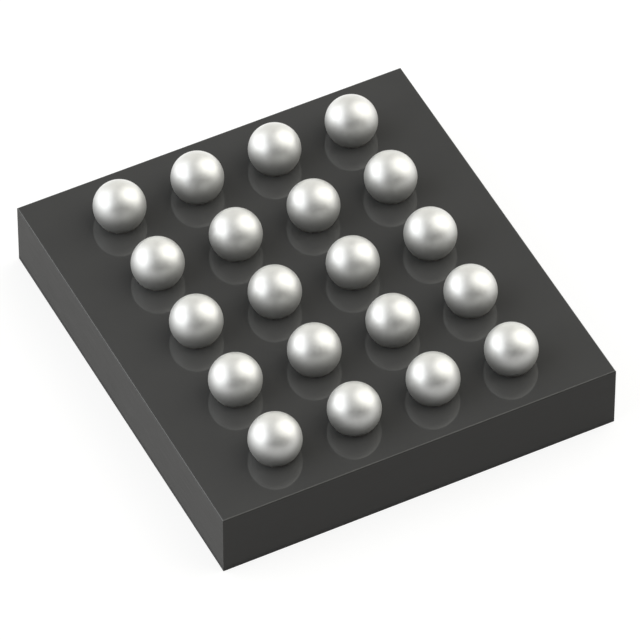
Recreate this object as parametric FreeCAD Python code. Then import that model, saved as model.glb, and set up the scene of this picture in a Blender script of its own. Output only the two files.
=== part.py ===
import FreeCAD, Part
import math
import os

# A die-size ball grid array chip, lying on its back with the solder balls up.
# The origin is the middle of the back face. X runs along the short rows of balls, Y along the long
# columns, and all lengths are in millimetres.

Vector = FreeCAD.Vector
AXIS_Z = Vector(0, 0, 1)
SQUARE_SIDES = 4
OCTAGON_SIDES = 8
SEAT_SIDES = 16

# Ball grid
PITCH = 0.400
COLUMNS = 4
ROWS = 5

# Outline of the body, from the outermost ball centres to the sawn sides
SIDE_MARGIN = 0.397
END_MARGIN = 0.271

# Layers, from the back face up
BACK_COATING_THICKNESS = 0.025
SILICON_THICKNESS = 0.305
LOWER_FILM_THICKNESS = 0.005
TRACE_THICKNESS = 0.005
FILM_OVER_TRACES = 0.005
EDGE_ROUND = 0.005              # round along the upper edges of the cover film

# Dot burnt into the back coating under ball A1
DOT_DIAMETER = 0.200
DOT_DEPTH = 0.008
DOT_INSET = 0.250               # from the two nearest sides to the dot's centre

# Square bond pads of the circuit, set flush into the silicon
BOND_PAD_WIDTH = 0.070
BOND_PAD_THICKNESS = 0.002
BOND_PAD_INSET = 0.087          # from the nearest side to the pad's centre

# Redistribution traces
TRACK_WIDTH = 0.034
VIA_WIDTH = 0.040               # square plug that goes down through the lower film to the bond pad
VIA_RIM = 0.010                 # copper round the plug
LAND_RIM = 0.010                # copper of the land outside the under-bump pad
TEARDROP_REACH = 0.050          # how far the track widens before it meets the land
TEARDROP_WIDTH = 0.160

# Octagonal openings in the cover film, and the metal plated into and over them, which ends in a
# sixteen-sided seat
OPENING_WIDTH = 0.156           # across the flats, at the land
OPENING_FLARE = 0.004           # how much wider each side is at the face of the film
UNDER_BUMP_RIM = 0.017          # metal that lies on the film outside the opening
UNDER_BUMP_STEP = 0.004         # how far that metal stands above the film

# Solder balls
BALL_HEIGHT = 0.200             # from the under-bump pad to the crown
CROWN_WIDTH = 0.002             # tiny flat on the crown

# Places and sizes that follow
BODY_X = (COLUMNS - 1) * PITCH + 2 * SIDE_MARGIN
BODY_Y = (ROWS - 1) * PITCH + 2 * END_MARGIN
BOND_PAD_X = BODY_X / 2 - BOND_PAD_INSET
BOND_PAD_Y = BODY_Y / 2 - BOND_PAD_INSET
COVER_FILM_THICKNESS = TRACE_THICKNESS + FILM_OVER_TRACES

SILICON_Z = BACK_COATING_THICKNESS
LOWER_FILM_Z = SILICON_Z + SILICON_THICKNESS
TRACE_Z = LOWER_FILM_Z + LOWER_FILM_THICKNESS
LAND_FACE_Z = TRACE_Z + TRACE_THICKNESS
FILM_FACE_Z = LAND_FACE_Z + FILM_OVER_TRACES
SEAT_Z = FILM_FACE_Z + UNDER_BUMP_STEP
CROWN_Z = SEAT_Z + BALL_HEIGHT

OPENING_FACE_WIDTH = OPENING_WIDTH + 2 * OPENING_FLARE
SEAT_WIDTH = OPENING_FACE_WIDTH + 2 * UNDER_BUMP_RIM
LAND_WIDTH = SEAT_WIDTH + 2 * LAND_RIM
VIA_CAP_WIDTH = VIA_WIDTH + 2 * VIA_RIM


def slab(bottom_z, thickness):
    """A layer with the body's outline."""
    corner = Vector(-BODY_X / 2, -BODY_Y / 2, bottom_z)
    return Part.makeBox(BODY_X, BODY_Y, thickness, corner)


def flat_sided_outline(sides, width, place, height):
    """A regular polygon, given by its width across flats, with flats that face along X and Y."""
    corner_radius = width / 2 / math.cos(math.pi / sides)
    angles = [2 * math.pi * (corner + 0.5) / sides for corner in range(sides)]
    corners = [
        Vector(place.x + corner_radius * math.cos(angle), place.y + corner_radius * math.sin(angle), height)
        for angle in angles
    ]
    return Part.makePolygon([*corners, corners[0]])


def flat_sided_plate(sides, width, place, bottom_z, thickness):
    """A regular polygon with a thickness."""
    outline = flat_sided_outline(sides, width, place, bottom_z)
    return Part.Face(outline).extrude(AXIS_Z * thickness)


def cut_all(solid, tools):
    """The solid with every tool taken out of it."""
    return solid.cut(Part.makeCompound(tools))


def ball_place(column, row):
    """Centre of a ball's land: column 1 lies at +X and row A at +Y."""
    x = ((COLUMNS - 1) / 2 - column) * PITCH
    y = ((ROWS - 1) / 2 - row) * PITCH
    return Vector(x, y, 0)


def ball_name(column, row):
    """Name of a place in the grid, such as a1."""
    return f"{chr(ord('a') + row)}{column + 1}"


def track_route(column, row):
    """Corners of the track from a ball's land to its bond pad.

    The outer columns run straight out to the sides, and the other balls of the end rows straight out
    to the ends. The inner balls run on a diagonal to the channel between two rows, then to the side.
    """
    land = ball_place(column, row)
    side = math.copysign(1, land.x)
    end = math.copysign(1, land.y)
    if column in (0, COLUMNS - 1):
        return [land, Vector(side * BOND_PAD_X, land.y, 0)]
    if row in (0, ROWS - 1):
        return [land, Vector(land.x, end * BOND_PAD_Y, 0)]
    channel_y = land.y + PITCH / 2
    bend = Vector(land.x + side * PITCH / 2, channel_y, 0)
    return [land, bend, Vector(side * BOND_PAD_X, channel_y, 0)]


def trace_run(start, end, start_width, end_width):
    """A flat strip of trace copper between two places."""
    along = (end - start).normalize()
    across = Vector(-along.y, along.x, 0)
    corners = [
        start - across * (start_width / 2),
        end - across * (end_width / 2),
        end + across * (end_width / 2),
        start + across * (start_width / 2),
    ]
    outline = Part.makePolygon([*corners, corners[0]])
    outline.translate(AXIS_Z * TRACE_Z)
    return Part.Face(outline).extrude(AXIS_Z * TRACE_THICKNESS)


def teardrop(route):
    """The wedge that widens a track where it meets its land."""
    run = route[1] - route[0]
    reach = min(LAND_WIDTH / 2 + TEARDROP_REACH, run.Length)
    tip = route[0] + run.normalize() * reach
    return trace_run(route[0], tip, TEARDROP_WIDTH, TRACK_WIDTH)


def trace(route):
    """One copper trace: octagonal land, teardrop, track, and the plug down to the bond pad."""
    land = flat_sided_plate(OCTAGON_SIDES, LAND_WIDTH, route[0], TRACE_Z, TRACE_THICKNESS)
    runs = [trace_run(start, end, TRACK_WIDTH, TRACK_WIDTH) for start, end in zip(route, route[1:])]
    bends = [flat_sided_plate(OCTAGON_SIDES, TRACK_WIDTH, place, TRACE_Z, TRACE_THICKNESS)
             for place in route[1:-1]]
    via_cap = flat_sided_plate(SQUARE_SIDES, VIA_CAP_WIDTH, route[-1], TRACE_Z, TRACE_THICKNESS)
    return land.fuse([teardrop(route), *runs, *bends, via_cap, via_plug(route)]).removeSplitter()


def via_plug(route):
    """The stretch of a trace that fills its hole in the lower film."""
    return flat_sided_plate(SQUARE_SIDES, VIA_WIDTH, route[-1], LOWER_FILM_Z, LOWER_FILM_THICKNESS)


def bond_pad(route):
    """The terminal under the outer end of a track."""
    bottom_z = LOWER_FILM_Z - BOND_PAD_THICKNESS
    return flat_sided_plate(SQUARE_SIDES, BOND_PAD_WIDTH, route[-1], bottom_z, BOND_PAD_THICKNESS)


def film_opening(place):
    """The flared hole in the cover film over a land."""
    at_land = flat_sided_outline(OCTAGON_SIDES, OPENING_WIDTH, place, LAND_FACE_Z)
    at_face = flat_sided_outline(OCTAGON_SIDES, OPENING_FACE_WIDTH, place, FILM_FACE_Z)
    return Part.makeLoft([at_land, at_face], True, True)


def under_bump_pad(place):
    """Plated metal that fills the film opening and ends in a seat on the face of the film."""
    seat = flat_sided_plate(SEAT_SIDES, SEAT_WIDTH, place, FILM_FACE_Z, UNDER_BUMP_STEP)
    return film_opening(place).fuse(seat).removeSplitter()


def solder_ball(place):
    """A reflowed ball: two arcs about one centre, turned about the ball's axis.

    They run from the flats of the seat to the ball's widest point, and on to the crown. Their centre
    lies straight below the edge of the crown's flat, so the seat and the height fix their radius.
    """
    crown_radius = CROWN_WIDTH / 2
    rim_reach = SEAT_WIDTH / 2 - crown_radius
    arc_radius = (BALL_HEIGHT ** 2 + rim_reach ** 2) / (2 * BALL_HEIGHT)
    centre = Vector(crown_radius, 0, CROWN_Z - arc_radius)
    rim_angle = math.atan2(SEAT_Z - centre.z, rim_reach)
    widest_angle = 0
    crown_angle = math.pi / 2

    def skin_point(angle):
        return centre + Vector(math.cos(angle), 0, math.sin(angle)) * arc_radius

    def skin(start, end):
        return Part.Arc(skin_point(start), skin_point((start + end) / 2), skin_point(end)).toShape()

    foot = Vector(0, 0, SEAT_Z)
    crown = Vector(0, 0, CROWN_Z)
    half_section = Part.Wire([
        Part.makeLine(foot, skin_point(rim_angle)),
        skin(rim_angle, widest_angle),
        skin(widest_angle, crown_angle),
        Part.makeLine(skin_point(crown_angle), crown),
        Part.makeLine(crown, foot),
    ])
    return Part.Face(half_section).revolve(Vector(0, 0, 0), AXIS_Z, 360).translated(place)


def back_coating():
    """The cured coating on the back, with the dot that marks the corner of ball A1."""
    dot_place = Vector(BODY_X / 2 - DOT_INSET, BODY_Y / 2 - DOT_INSET, 0)
    dot = Part.makeCylinder(DOT_DIAMETER / 2, DOT_DEPTH, dot_place)
    return slab(0, BACK_COATING_THICKNESS).cut(dot)


def cover_film(traces, openings):
    """The polymer face: it fills in round the traces and leaves each land open."""
    film = slab(TRACE_Z, COVER_FILM_THICKNESS)
    top = max(film.Faces, key=lambda face: face.CenterOfMass.z)
    rounded = film.makeFillet(min(EDGE_ROUND, 0.9 * COVER_FILM_THICKNESS), top.Edges)
    return cut_all(rounded, [*traces, *openings])


def build():
    """Every piece of the chip, by the name of its node."""
    grid = [(column, row) for row in range(ROWS) for column in range(COLUMNS)]
    places = {ball_name(column, row): ball_place(column, row) for column, row in grid}
    routes = [track_route(column, row) for column, row in grid]
    bond_pads = [bond_pad(route) for route in routes]
    plugs = [via_plug(route) for route in routes]
    traces = [trace(route) for route in routes]
    openings = [film_opening(place) for place in places.values()]

    pieces = {
        "back_coating": back_coating(),
        "silicon_die": cut_all(slab(SILICON_Z, SILICON_THICKNESS), bond_pads),
        "bond_pads": Part.makeCompound(bond_pads),
        "lower_film": cut_all(slab(LOWER_FILM_Z, LOWER_FILM_THICKNESS), plugs),
        "redistribution_traces": Part.makeCompound(traces),
        "cover_film": cover_film(traces, openings),
    }
    for name, place in places.items():
        pieces[f"under_bump_pad_{name}"] = under_bump_pad(place)
        pieces[f"solder_ball_{name}"] = solder_ball(place)
    return pieces


os.makedirs("parts", exist_ok=True)
for node, shape in build().items():
    shape.exportStep(f"parts/{node}.step")
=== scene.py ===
# A ball grid array chip, die-size kind: a dark square-cut body on its back with satin solder balls up.
import math

import bmesh
import bpy
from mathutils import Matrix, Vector


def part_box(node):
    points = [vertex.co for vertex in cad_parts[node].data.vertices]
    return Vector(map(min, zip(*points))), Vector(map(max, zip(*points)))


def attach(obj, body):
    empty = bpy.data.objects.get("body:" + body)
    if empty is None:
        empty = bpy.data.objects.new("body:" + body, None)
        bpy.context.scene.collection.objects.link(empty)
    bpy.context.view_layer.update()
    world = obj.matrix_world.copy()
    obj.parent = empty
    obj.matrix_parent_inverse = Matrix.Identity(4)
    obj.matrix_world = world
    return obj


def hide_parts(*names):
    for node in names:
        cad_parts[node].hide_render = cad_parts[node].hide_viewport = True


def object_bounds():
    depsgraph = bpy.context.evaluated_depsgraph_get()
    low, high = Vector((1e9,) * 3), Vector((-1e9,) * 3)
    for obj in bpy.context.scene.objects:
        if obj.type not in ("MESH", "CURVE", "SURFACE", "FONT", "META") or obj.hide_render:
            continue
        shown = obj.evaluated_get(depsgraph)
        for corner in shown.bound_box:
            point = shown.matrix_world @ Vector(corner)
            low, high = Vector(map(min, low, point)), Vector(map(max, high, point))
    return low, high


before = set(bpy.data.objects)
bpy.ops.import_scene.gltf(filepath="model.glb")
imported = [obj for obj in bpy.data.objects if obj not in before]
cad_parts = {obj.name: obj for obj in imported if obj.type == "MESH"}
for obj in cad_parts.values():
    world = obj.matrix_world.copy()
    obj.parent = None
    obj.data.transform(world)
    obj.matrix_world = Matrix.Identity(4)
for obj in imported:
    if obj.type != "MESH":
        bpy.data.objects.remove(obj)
cad_lo, cad_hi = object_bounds()

MM = 0.001
MICRON = 0.001 * MM
BODY = "root"

# Camera: a long lens that looks down over the front left corner, at angles in degrees
PICTURE_PIXELS = 640
SENSOR_WIDTH = 36.0
FOCAL_PIXELS = 8215.7
CAMERA_AZIMUTH = -26.84
CAMERA_ELEVATION = 47.916
CAMERA_DISTANCE = 37.652 * MM
LOOK_AT = Vector((-0.0231, -0.1078, 0.2487)) * MM
CLIP_NEAR = 1.0 * MM
CLIP_FAR = 1000.0 * MM

# Fine ball mesh
BALL_SEGMENTS = 96
BALL_RINGS = 48

# Stretches of a piece, as shares of its height, over which its finish changes
# Painted shade: below the first stretch, the solder's colour darkens towards the foot
SOLDER_PAINTED_SHADE_FADES = (0.24, 0.86)
SOLDER_SMOOTHS = (0.50, 0.81)
FILM_TURNS_GLOSSY = (0.65, 0.8)

# Floor: its paint takes the shadow, and its glow makes it white
FLOOR_RADIUS = 400.0 * MM
FLOOR_SEGMENTS = 128
FLOOR_GAP = 0.2 * MICRON
FLOOR_PAINT = (0.26, 0.26, 0.26)
FLOOR_GLOW = 0.82

# Noise values mostly lie between these two
NOISE_LOW = 0.3
NOISE_HIGH = 0.7

# The roughness of plated metal varies by this much either way
PLATED_SPREAD = 0.06

# Room: its back turns to its front between two reaches towards the camera, and both turn to its top
ROOM_FRONT = (0.085, 0.085, 0.08)
ROOM_BACK = (0.72, 0.71, 0.66)
ROOM_TOP = (0.46, 0.46, 0.44)
BACK_TO_FRONT = (-0.38, 0.0)
SIDES_TO_TOP = (0.68, 1.0)

# Soft boxes: azimuth from the camera's and elevation in degrees, width, height and soft edge
LEFT_BOX = (-87.5, 17.5, 1.62, 1.5, 0.4)
LEFT_LIGHT = (1.96, 2.0, 2.02)
RIGHT_BOX = (111.0, 42.5, 1.2, 1.5, 0.45)
RIGHT_LIGHT = (1.97, 1.95, 1.83)

# Flag: azimuth, elevation, radius and soft edge in degrees
FILM_FLAG = (180.0, 48.0, 8.0, 4.0)
FLAG_LIGHT = (0.03, 0.03, 0.03)

# Horizon
HORIZON_TOP = math.sin(math.radians(0.6))
HORIZON_LIGHT = (1.0, 1.0, 1.0)


def direction(azimuth, elevation):
    """Unit vector from the object. The azimuth is counted from the camera's, to the camera's right."""
    turn = math.radians(CAMERA_AZIMUTH + azimuth)
    rise = math.radians(elevation)
    return Vector((math.sin(turn) * math.cos(rise), -math.cos(turn) * math.cos(rise), math.sin(rise)))


def new_object(name, mesh):
    """Adds a mesh to the scene as an object."""
    made = bpy.data.objects.new(name, mesh)
    bpy.context.scene.collection.objects.link(made)
    return made


# Sockets of a mix node
NUMBER_A = 2
NUMBER_B = 3
NUMBER_RESULT = 0
COLOUR_A = 6
COLOUR_B = 7
COLOUR_RESULT = 2


def colour(value):
    """A colour with its opacity, or a socket as it is."""
    return value if isinstance(value, bpy.types.NodeSocket) else (*value, 1.0)


class Nodes:
    """Short calls for the nodes of one tree. An input is a socket or a plain value."""

    def __init__(self, tree):
        self.tree = tree

    def add(self, kind, inputs=None, **settings):
        """A node with its settings made and its inputs set or linked."""
        node = self.tree.nodes.new(kind)
        for name, value in settings.items():
            setattr(node, name, value)
        for key, value in (inputs or {}).items():
            if isinstance(value, bpy.types.NodeSocket):
                self.tree.links.new(value, node.inputs[key])
            else:
                node.inputs[key].default_value = value
        return node

    def math(self, operation, first, second=0.0):
        """One sum on two numbers."""
        return self.add("ShaderNodeMath", {0: first, 1: second}, operation=operation).outputs["Value"]

    def dot(self, vector, axis):
        """How far a vector reaches along an axis."""
        node = self.add("ShaderNodeVectorMath", {0: vector, 1: axis}, operation="DOT_PRODUCT")
        return node.outputs["Value"]

    def step(self, value, start, end):
        """A soft step from 0 at the start to 1 at the end."""
        low, high, first, last = (start, end, 0.0, 1.0) if start < end else (end, start, 1.0, 0.0)
        ends = {"Value": value, "From Min": low, "From Max": high, "To Min": first, "To Max": last}
        return self.add("ShaderNodeMapRange", ends, interpolation_type="SMOOTHSTEP").outputs["Result"]

    def blend(self, share, first, second):
        """The first colour where the share is 0, the second where it is 1."""
        inputs = {"Factor": share, COLOUR_A: colour(first), COLOUR_B: colour(second)}
        return self.add("ShaderNodeMix", inputs, data_type="RGBA").outputs[COLOUR_RESULT]

    def between(self, share, first, second):
        """The first number where the share is 0, the second where it is 1."""
        inputs = {"Factor": share, NUMBER_A: first, NUMBER_B: second}
        return self.add("ShaderNodeMix", inputs, data_type="FLOAT").outputs[NUMBER_RESULT]


# Materials
class Finish(Nodes):
    """A material with one principled shader, whose colour, roughness and bump follow noise."""

    def __init__(self, name, roughness, metallic=0.0, ior=1.5, specular=0.5):
        self.material = bpy.data.materials.new(name)
        self.material.use_nodes = True
        super().__init__(self.material.node_tree)
        self.surface = self.tree.nodes["Principled BSDF"]
        self.surface.inputs["Roughness"].default_value = roughness
        self.surface.inputs["Metallic"].default_value = metallic
        self.surface.inputs["IOR"].default_value = ior
        self.surface.inputs["Specular IOR Level"].default_value = specular
        self.place = self.add("ShaderNodeTexCoord").outputs["Object"]

    def noise(self, grain, detail=3.0, stretch=(1.0, 1.0, 1.0)):
        """Noise whose features are about one grain across."""
        scale = tuple(part / grain for part in stretch)
        spot = self.add("ShaderNodeMapping", {"Vector": self.place, "Scale": scale}).outputs["Vector"]
        return self.add("ShaderNodeTexNoise", {"Vector": spot, "Scale": 1.0, "Detail": detail}).outputs["Fac"]

    def colours(self, value, dark, light):
        """Colours the surface between two colours by a noise value."""
        mixed = self.blend(self.step(value, NOISE_LOW, NOISE_HIGH), dark, light)
        self.tree.links.new(mixed, self.surface.inputs["Base Color"])

    def rough(self, value, low, high):
        """Varies the roughness by a noise value."""
        ends = {"Value": value, "From Min": NOISE_LOW, "From Max": NOISE_HIGH, "To Min": low, "To Max": high}
        varied = self.add("ShaderNodeMapRange", ends).outputs["Result"]
        self.tree.links.new(varied, self.surface.inputs["Roughness"])

    def above(self, node, start, end):
        """Share that rises from 0 to 1 between two heights, both as shares of a node's own height."""
        low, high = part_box(node)
        tall = high.z - low.z
        level = self.add("ShaderNodeSeparateXYZ", {"Vector": self.place}).outputs["Z"]
        return self.step(level, low.z + start * tall, low.z + end * tall)

    def fade(self, name, share, below):
        """Turns one input of the shader to another value where the share is 0."""
        held = self.surface.inputs[name]
        kept = held.links[0].from_socket if held.is_linked else held.default_value
        mixed = self.blend(share, below, kept) if held.type == "RGBA" else self.between(share, below, kept)
        self.tree.links.new(mixed, held)

    def bump(self, value, height):
        """Raises the surface by a noise value."""
        raised = self.add("ShaderNodeBump", {"Height": value, "Distance": height}).outputs["Normal"]
        self.tree.links.new(raised, self.surface.inputs["Normal"])


def solder():
    """Satin tin-silver solder: fine frosted grain in soft patches, with painted shade that darkens its colour
    towards the foot, and rougher towards the foot.
    """
    made = Finish("satin_solder", 0.44, metallic=0.75)
    made.colours(made.noise(grain=40 * MICRON), dark=(0.85, 0.85, 0.84), light=(0.89, 0.89, 0.88))
    made.rough(made.noise(grain=25 * MICRON, detail=4.0), low=0.41, high=0.47)
    # Painted shade: the solder's colour darkens towards the foot of each ball
    made.fade("Base Color", made.above("solder_ball_a1", *SOLDER_PAINTED_SHADE_FADES), below=(0.45, 0.45, 0.44))
    made.fade("Roughness", made.above("solder_ball_a1", *SOLDER_SMOOTHS), below=0.60)
    made.bump(made.noise(grain=6 * MICRON, detail=2.0), height=0.15 * MICRON)
    return made.material


def film():
    """Dark glossy polymer film: near flat, with faint smudges in its gloss and a matte sawn side."""
    made = Finish("dark_gloss_film", 0.05, ior=1.6)
    made.colours(made.noise(grain=350 * MICRON), dark=(0.070, 0.070, 0.070), light=(0.074, 0.074, 0.074))
    made.rough(made.noise(grain=120 * MICRON, detail=5.0), low=0.04, high=0.07)
    face = made.above("cover_film", *FILM_TURNS_GLOSSY)
    made.fade("Base Color", face, below=(0.031, 0.030, 0.028))
    made.fade("Roughness", face, below=0.5)
    made.fade("Specular IOR Level", face, below=0.15)
    made.bump(made.noise(grain=60 * MICRON), height=0.01 * MICRON)
    return made.material


def silicon():
    """Sawn silicon: dark grey with fine lines along the cut."""
    made = Finish("sawn_silicon", 0.5, specular=0.22)
    lines = made.noise(grain=60 * MICRON, detail=5.0, stretch=(0.3, 0.3, 12.0))
    made.colours(lines, dark=(0.0285, 0.0275, 0.0255), light=(0.0325, 0.0315, 0.0295))
    made.rough(lines, low=0.45, high=0.55)
    made.bump(lines, height=0.3 * MICRON)
    return made.material


def coating():
    """Matte black back coating with fine filler grain."""
    made = Finish("matte_back_coating", 0.6, specular=0.22)
    filler = made.noise(grain=10 * MICRON, detail=4.0)
    made.colours(filler, dark=(0.028, 0.028, 0.027), light=(0.032, 0.032, 0.031))
    made.rough(made.noise(grain=30 * MICRON), low=0.55, high=0.65)
    made.bump(made.noise(grain=8 * MICRON, detail=4.0), height=0.5 * MICRON)
    return made.material


def under_film():
    """The thin polymer film under the tracks: a fine line in the side of the body."""
    made = Finish("lower_polymer_film", 0.45, specular=0.22)
    made.colours(made.noise(grain=40 * MICRON), dark=(0.029, 0.028, 0.026), light=(0.034, 0.033, 0.031))
    made.rough(made.noise(grain=40 * MICRON), low=0.4, high=0.5)
    return made.material


def plated(name, dark, light, roughness):
    """Thin plated metal with a fine matte grain."""
    made = Finish(name, roughness, metallic=1.0)
    made.colours(made.noise(grain=15 * MICRON), dark, light)
    made.rough(made.noise(grain=10 * MICRON), roughness - PLATED_SPREAD, roughness + PLATED_SPREAD)
    made.bump(made.noise(grain=4 * MICRON), height=0.1 * MICRON)
    return made.material


def under_bump_metal():
    """Plated metal under the balls, seen only as a thin matte rim."""
    return plated("under_bump_metal", dark=(0.30, 0.29, 0.27), light=(0.38, 0.37, 0.34), roughness=0.6)


def trace_copper():
    """Copper of the tracks inside."""
    return plated("trace_copper", dark=(0.70, 0.34, 0.22), light=(0.85, 0.45, 0.31), roughness=0.35)


def pad_aluminium():
    """Aluminium of the bond pads inside."""
    return plated("pad_aluminium", dark=(0.78, 0.78, 0.79), light=(0.88, 0.88, 0.89), roughness=0.35)


MATERIALS = {
    "solder": solder(),
    "cover_film": film(),
    "silicon": silicon(),
    "back_coating": coating(),
    "lower_film": under_film(),
    "under_bump_metal": under_bump_metal(),
    "trace_copper": trace_copper(),
    "pad_aluminium": pad_aluminium(),
}


def dress(node, slot):
    """Gives a node of the frame its finish."""
    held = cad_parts[node]
    held.data.materials.clear()
    held.data.materials.append(MATERIALS[slot])


for part in ("cover_film", "back_coating", "lower_film"):
    dress(part, part)
dress("silicon_die", "silicon")
dress("redistribution_traces", "trace_copper")
dress("bond_pads", "pad_aluminium")
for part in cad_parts:
    if part.startswith("under_bump_pad"):
        dress(part, "under_bump_metal")
    if part.startswith("solder_ball"):
        dress(part, "solder")


# Solder balls
def ball_profile(height, foot):
    """Half section of a ball cut off by its seat, as (radius, height) from the foot to below the crown."""
    radius = (height * height + foot * foot) / (2 * height)
    middle = height - radius
    lowest = math.asin(-middle / radius)
    steps = [lowest + (math.pi / 2 - lowest) * step / BALL_RINGS for step in range(BALL_RINGS)]
    return [(radius * math.cos(angle), middle + radius * math.sin(angle)) for angle in steps]


def ball_mesh(name, centre, height, foot):
    """Turns the section about the ball's own upright axis and closes it at the foot and the crown."""
    work = bmesh.new()
    rings = []
    for radius, level in ball_profile(height, foot):
        ring = []
        for step in range(BALL_SEGMENTS):
            turn = 2 * math.pi * step / BALL_SEGMENTS
            spot = Vector((radius * math.cos(turn), radius * math.sin(turn), level))
            ring.append(work.verts.new(centre + spot))
        rings.append(ring)
    for below, above in zip(rings, rings[1:]):
        for step in range(BALL_SEGMENTS):
            after = (step + 1) % BALL_SEGMENTS
            work.faces.new((below[step], below[after], above[after], above[step])).smooth = True
    work.faces.new(list(reversed(rings[0])))
    crown = work.verts.new(centre + Vector((0.0, 0.0, height)))
    for step in range(BALL_SEGMENTS):
        after = (step + 1) % BALL_SEGMENTS
        work.faces.new((rings[-1][step], rings[-1][after], crown)).smooth = True
    mesh = bpy.data.meshes.new(name)
    work.to_mesh(mesh)
    work.free()
    return mesh


def solder_ball(place):
    """A finely turned ball on its own pad, in place of the ball of the frame."""
    node = "solder_ball_" + place
    low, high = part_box(node)
    pad_low, pad_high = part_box("under_bump_pad_" + place)
    centre = Vector(((low.x + high.x) / 2, (low.y + high.y) / 2, low.z))
    foot = (pad_high.x - pad_low.x) / 2
    name = "satin_ball_" + place
    made = new_object(name, ball_mesh(name, centre, high.z - low.z, foot))
    made.data.materials.append(MATERIALS["solder"])
    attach(made, BODY)
    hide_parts(node)


for part in sorted(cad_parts):
    if part.startswith("solder_ball_"):
        solder_ball(part.removeprefix("solder_ball_"))


# Floor
def floor_material():
    """Pale floor: plain white to look at, with the object's soft shadow kept on it."""
    made = bpy.data.materials.new("pale_floor")
    made.use_nodes = True
    nodes = Nodes(made.node_tree)
    nodes.tree.nodes.remove(nodes.tree.nodes["Principled BSDF"])
    rays = nodes.add("ShaderNodeLightPath").outputs
    mirrored = nodes.math("MAXIMUM", rays["Is Glossy Ray"], rays["Is Transmission Ray"])
    seen = nodes.math("MAXIMUM", rays["Is Camera Ray"], mirrored)
    glow = nodes.math("MULTIPLY", seen, FLOOR_GLOW)
    paint = nodes.add("ShaderNodeBsdfDiffuse", {"Color": colour(FLOOR_PAINT)}).outputs["BSDF"]
    light = nodes.add("ShaderNodeEmission", {"Strength": glow}).outputs["Emission"]
    both = nodes.add("ShaderNodeAddShader", {0: paint, 1: light}).outputs["Shader"]
    nodes.tree.links.new(both, nodes.tree.nodes["Material Output"].inputs["Surface"])
    return made


def floor():
    """A wide round floor just under the object."""
    work = bmesh.new()
    bmesh.ops.create_circle(work, cap_ends=True, segments=FLOOR_SEGMENTS, radius=FLOOR_RADIUS)
    bmesh.ops.translate(work, verts=work.verts, vec=(0.0, 0.0, cad_lo.z - FLOOR_GAP))
    mesh = bpy.data.meshes.new("floor")
    work.to_mesh(mesh)
    work.free()
    made = new_object("floor", mesh)
    made.data.materials.append(floor_material())


floor()


# Light
def soft_box(nodes, ray, azimuth, elevation, width, height, edge):
    """Share of a soft-edged rectangle of light in each direction. Its sizes are shares of its distance."""
    facing = direction(azimuth, elevation)
    across = Vector((0.0, 0.0, 1.0)).cross(facing).normalized()
    upward = facing.cross(across)
    ahead = nodes.dot(ray, facing)
    share = nodes.math("GREATER_THAN", ahead, 0.0)
    for axis, size in ((across, width), (upward, height)):
        offset = nodes.math("ABSOLUTE", nodes.math("DIVIDE", nodes.dot(ray, axis), ahead))
        inside = nodes.step(offset, size / 2 + edge, size / 2 - edge)
        share = nodes.math("MULTIPLY", share, inside)
    return share


def flag(nodes, ray, azimuth, elevation, radius, edge):
    """Share of a small round screen, in the direction that the film mirrors to the camera."""
    ahead = nodes.dot(ray, direction(azimuth, elevation))
    return nodes.step(ahead, math.cos(math.radians(radius + edge)), math.cos(math.radians(radius - edge)))


def studio():
    """Grey room with a wide soft box on each side: pale behind the object, darker behind the camera."""
    world = bpy.data.worlds.new("studio")
    bpy.context.scene.world = world
    world.use_nodes = True
    nodes = Nodes(world.node_tree)
    ray = nodes.add("ShaderNodeTexCoord").outputs["Generated"]
    height = nodes.add("ShaderNodeSeparateXYZ", {"Vector": ray}).outputs["Z"]
    towards_camera = nodes.dot(ray, direction(0.0, 0.0))
    light = nodes.blend(nodes.step(towards_camera, *BACK_TO_FRONT), ROOM_BACK, ROOM_FRONT)
    light = nodes.blend(nodes.step(height, *SIDES_TO_TOP), light, ROOM_TOP)
    light = nodes.blend(soft_box(nodes, ray, *LEFT_BOX), light, LEFT_LIGHT)
    light = nodes.blend(soft_box(nodes, ray, *RIGHT_BOX), light, RIGHT_LIGHT)
    light = nodes.blend(flag(nodes, ray, *FILM_FLAG), light, FLAG_LIGHT)
    light = nodes.blend(nodes.step(height, HORIZON_TOP, 0.0), light, HORIZON_LIGHT)
    background = world.node_tree.nodes["Background"]
    world.node_tree.links.new(light, background.inputs["Color"])


studio()


# Camera
def camera():
    """The photograph's view."""
    data = bpy.data.cameras.new("camera")
    data.sensor_width = SENSOR_WIDTH
    data.lens = FOCAL_PIXELS / PICTURE_PIXELS * SENSOR_WIDTH
    data.clip_start = CLIP_NEAR
    data.clip_end = CLIP_FAR
    made = bpy.data.objects.new("camera", data)
    back = direction(0.0, CAMERA_ELEVATION)
    made.location = LOOK_AT + back * CAMERA_DISTANCE
    made.rotation_mode = "QUATERNION"
    made.rotation_quaternion = (-back).to_track_quat("-Z", "Y")
    bpy.context.scene.collection.objects.link(made)
    bpy.context.scene.camera = made


camera()
bpy.context.scene.view_settings.view_transform = "Standard"
